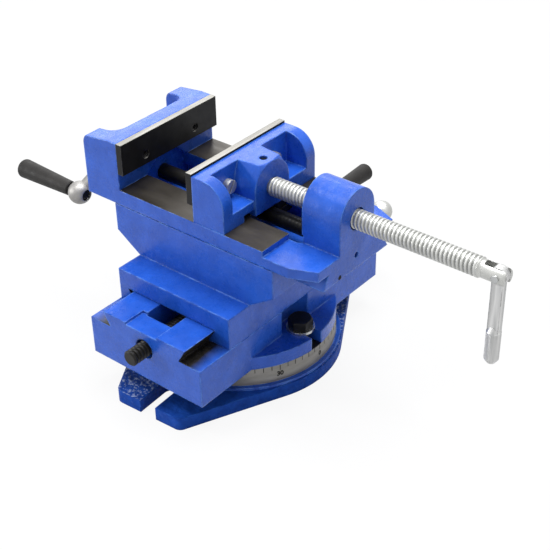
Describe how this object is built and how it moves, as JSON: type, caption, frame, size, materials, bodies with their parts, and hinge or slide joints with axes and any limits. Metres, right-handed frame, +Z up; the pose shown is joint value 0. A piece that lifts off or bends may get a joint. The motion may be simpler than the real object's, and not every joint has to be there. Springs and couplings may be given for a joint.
{
  "type": "cross slide vise",
  "caption": "Cross slide vise on a swivel base with a degree scale, two dovetail slides moved by crank screws, and a screw-closed jaw with a folding handle.",
  "frame": {"origin": "on the base's underside, at the swivel axis", "axes": "+X along the vise screw towards the folding handle, +Y along the lower slide towards its crank, +Z up"},
  "size_m": [0.4138, 0.3343, 0.1695],
  "materials": {
    "cast_blue": "glossy blue paint on cast iron",
    "ground_steel": "ground",
    "black_steel": "black oxide",
    "bright_zinc": "bright zinc and polished steel",
    "grip_plastic": "satin",
    "bronze": "machined"
  },
  "bodies": {
    "base": {"base": "cast_blue"},
    "swivel": {"swivel_body": "cast_blue", "pivot_pin": "ground_steel", "clamp_bolt_front": "black_steel", "clamp_bolt_back": "black_steel", "clamp_washer_front": "bright_zinc", "clamp_washer_back": "bright_zinc", "tee_nut_front": "black_steel", "tee_nut_back": "black_steel", "lower_bearing": "cast_blue", "lower_bearing_screws": "black_steel"},
    "lower_drive": {"lower_screw": "black_steel", "lower_dial": "bright_zinc", "lower_crank": "bright_zinc", "lower_crank_pin": "ground_steel", "lower_spindle": "bright_zinc"},
    "lower_handle": {"lower_grip": "grip_plastic"},
    "saddle": {"saddle": "cast_blue", "lower_nut": "bronze", "lower_nut_screws": "black_steel", "upper_nut": "bronze", "upper_nut_screws": "black_steel", "lower_gib": "ground_steel", "lower_gib_screws": "black_steel", "lower_gib_nuts": "black_steel", "upper_gib": "ground_steel", "upper_gib_screws": "black_steel", "upper_gib_nuts": "black_steel"},
    "vise": {"vise_body": "cast_blue", "fixed_plate": "black_steel", "fixed_plate_screws": "black_steel", "upper_bearing": "cast_blue", "upper_bearing_screws": "black_steel"},
    "upper_drive": {"upper_screw": "black_steel", "upper_dial": "bright_zinc", "upper_crank": "bright_zinc", "upper_crank_pin": "ground_steel", "upper_spindle": "bright_zinc"},
    "upper_handle": {"upper_grip": "grip_plastic"},
    "jaw": {"moving_jaw": "cast_blue", "moving_plate": "black_steel", "moving_plate_screws": "bright_zinc", "jaw_keepers": "ground_steel", "keeper_screws": "black_steel", "retaining_screw": "black_steel"},
    "clamp_screw": {"vise_screw": "bright_zinc", "handle_pin": "bright_zinc"},
    "folding_handle": {"vise_handle": "bright_zinc"}
  },
  "joints": [
    {"name": "swivel_turn", "type": "hinge", "parent": "base", "child": "swivel", "pos_m": [0, 0, 0.0265], "axis": [0, 0, 1], "continuous": true},
    {"name": "saddle_slide", "type": "slide", "parent": "swivel", "child": "saddle", "axis": [0, 1, 0], "range_m": [-0.05, 0.05]},
    {"name": "lower_screw_turn", "type": "hinge", "parent": "swivel", "child": "lower_drive", "pos_m": [0, 0.141, 0.0525], "axis": [0, 1, 0], "continuous": true},
    {"name": "lower_grip_spin", "type": "hinge", "parent": "lower_drive", "child": "lower_handle", "pos_m": [-0.03853, 0.153, 0.03848], "axis": [0, 1, 0], "continuous": true},
    {"name": "vise_slide", "type": "slide", "parent": "saddle", "child": "vise", "axis": [1, 0, 0], "range_m": [-0.064, 0.024]},
    {"name": "upper_screw_turn", "type": "hinge", "parent": "vise", "child": "upper_drive", "pos_m": [-0.1185, 0, 0.1235], "axis": [1, 0, 0], "continuous": true},
    {"name": "upper_grip_spin", "type": "hinge", "parent": "upper_drive", "child": "upper_handle", "pos_m": [-0.1305, -0.03317, 0.0994], "axis": [1, 0, 0], "continuous": true},
    {"name": "jaw_slide", "type": "slide", "parent": "vise", "child": "jaw", "axis": [1, 0, 0], "range_m": [-0.0605, 0.04]},
    {"name": "clamp_screw_turn", "type": "hinge", "parent": "jaw", "child": "clamp_screw", "pos_m": [0.05, 0, 0.1475], "axis": [1, 0, 0], "continuous": true},
    {"name": "handle_fold", "type": "hinge", "parent": "clamp_screw", "child": "folding_handle", "pos_m": [0.212, 0, 0.1475], "axis": [0, 1, 0], "range_deg": [-210, 30]}
  ],
  "couplings": [
    {"joint": "lower_screw_turn", "follows": "saddle_slide", "rad_per_m": -2094.4},
    {"joint": "upper_screw_turn", "follows": "vise_slide", "rad_per_m": 2094.4},
    {"joint": "clamp_screw_turn", "follows": "jaw_slide", "rad_per_m": 2094.4}
  ]
}
